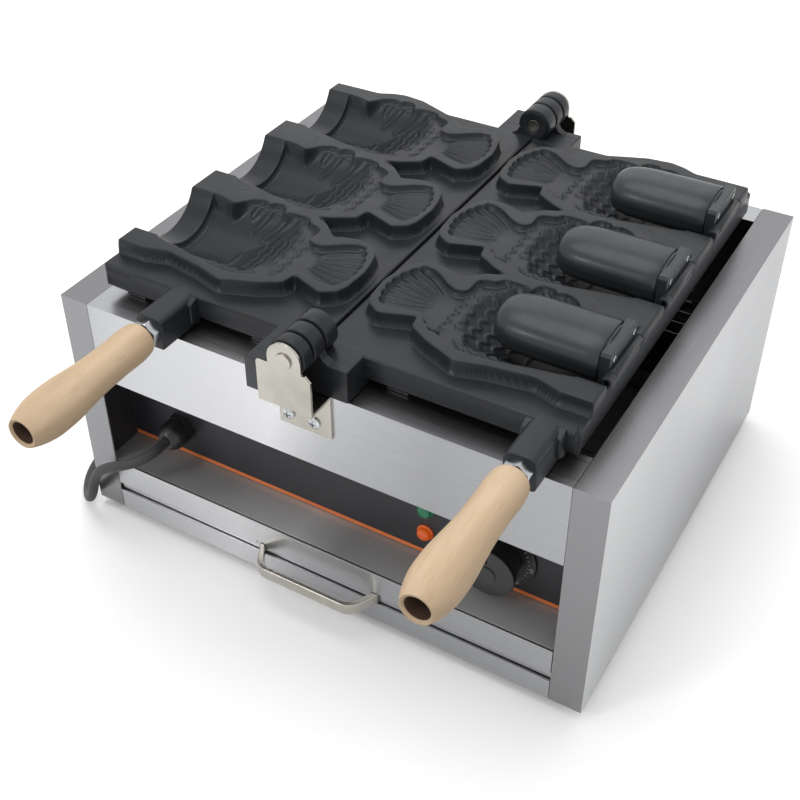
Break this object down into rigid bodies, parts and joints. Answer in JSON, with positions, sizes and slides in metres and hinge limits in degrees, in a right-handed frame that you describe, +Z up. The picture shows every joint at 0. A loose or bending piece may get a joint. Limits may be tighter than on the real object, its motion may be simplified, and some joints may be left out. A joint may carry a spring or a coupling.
{
  "type": "open-mouth fish waffle maker",
  "caption": "Countertop fish-shaped waffle maker with two folding cast mould halves, swinging mouth cores, wooden handles and a stainless cabinet with a crumb drawer.",
  "frame": {"origin": "on the surface under the feet, at the middle of the machine's box without its lead", "axes": "+X to the right and +Y to the back as seen from the front, +Z up"},
  "size_m": [0.5617, 0.5178, 0.258],
  "materials": {
    "casting": "non-stick coated cast aluminium, satin charcoal",
    "core_coat": "non-stick coated cast aluminium, smooth satin",
    "stainless": "brushed stainless sheet",
    "bracket_steel": "bright rolled steel",
    "zinc": "bright zinc plate",
    "panel_black": "black painted steel",
    "stripe": "orange line printed on the panel",
    "black_plastic": "black thermoplastic",
    "dial": "black dial",
    "lamp_green": "translucent green lens",
    "lamp_orange": "translucent orange lens",
    "beech": "sanded beech",
    "rubber": "black rubber",
    "lead": "rubber sheathed mains lead",
    "ceramic": "ceramic terminal block",
    "heater": "oxidised tubular element",
    "phenolic": "phenolic thermostat body",
    "nylon": "woven hook and loop strap"
  },
  "bodies": {
    "cabinet": {"left_side_panel": "stainless", "right_side_panel": "stainless", "front_fascia": "stainless", "back_panel": "stainless", "base_pan": "stainless", "recess_floor": "stainless", "control_panel": "panel_black", "panel_stripe": "stripe", "control_box": "stainless", "drawer_runners": "stainless", "rubber_feet": "rubber", "cabinet_screws": "zinc", "thermostat_body": "phenolic", "thermostat_bezel": "dial", "power_lamp": "lamp_green", "heat_lamp": "lamp_orange", "terminal_block": "ceramic", "cord_gland": "black_plastic", "power_cord": "lead", "cord_coil": "lead", "cord_tail": "lead", "cord_tie": "nylon", "mains_plug": "black_plastic", "front_hinge_bracket": "bracket_steel", "rear_hinge_bracket": "bracket_steel", "bracket_screws": "zinc", "front_hinge_pin": "zinc", "rear_hinge_pin": "zinc"},
    "left_half": {"left_mould": "casting", "left_handle_rod": "zinc", "left_handle_nuts": "zinc", "left_handle_grip": "beech", "left_heating_element": "heater", "left_element_cover": "stainless", "left_cover_screws": "zinc"},
    "right_half": {"right_mould": "casting", "right_handle_rod": "zinc", "right_handle_nuts": "zinc", "right_handle_grip": "beech", "right_heating_element": "heater", "right_element_cover": "stainless", "right_cover_screws": "zinc", "core_pin_1": "zinc", "core_pin_2": "zinc", "core_pin_3": "zinc"},
    "drawer": {"crumb_drawer": "stainless", "drawer_handle": "bracket_steel", "drawer_handle_screws": "zinc"},
    "knob": {"thermostat_knob": "black_plastic"},
    "core_1": {"mouth_core_1": "core_coat"},
    "core_2": {"mouth_core_2": "core_coat"},
    "core_3": {"mouth_core_3": "core_coat"}
  },
  "joints": [
    {"name": "left_fold", "type": "hinge", "parent": "cabinet", "child": "left_half", "pos_m": [0, 0.05655, 0.242], "axis": [0, 1, 0], "range_deg": [0, 180]},
    {"name": "right_fold", "type": "hinge", "parent": "cabinet", "child": "right_half", "pos_m": [0, 0.05655, 0.242], "axis": [0, -1, 0], "range_deg": [0, 180]},
    {"name": "drawer_slide", "type": "slide", "parent": "cabinet", "child": "drawer", "axis": [0, -1, 0], "range_m": [0, 0.25]},
    {"name": "knob_turn", "type": "hinge", "parent": "cabinet", "child": "knob", "pos_m": [0.128, -0.10095, 0.088], "axis": [0, 1, 0], "range_deg": [0, 290]},
    {"name": "core_1_swing", "type": "hinge", "parent": "right_half", "child": "core_1", "pos_m": [0.1787, -0.03395, 0.241], "axis": [0, -1, 0], "range_deg": [-95, 0]},
    {"name": "core_2_swing", "type": "hinge", "parent": "right_half", "child": "core_2", "pos_m": [0.1787, 0.06155, 0.241], "axis": [0, -1, 0], "range_deg": [-95, 0]},
    {"name": "core_3_swing", "type": "hinge", "parent": "right_half", "child": "core_3", "pos_m": [0.1787, 0.15705, 0.241], "axis": [0, -1, 0], "range_deg": [-95, 0]}
  ]
}
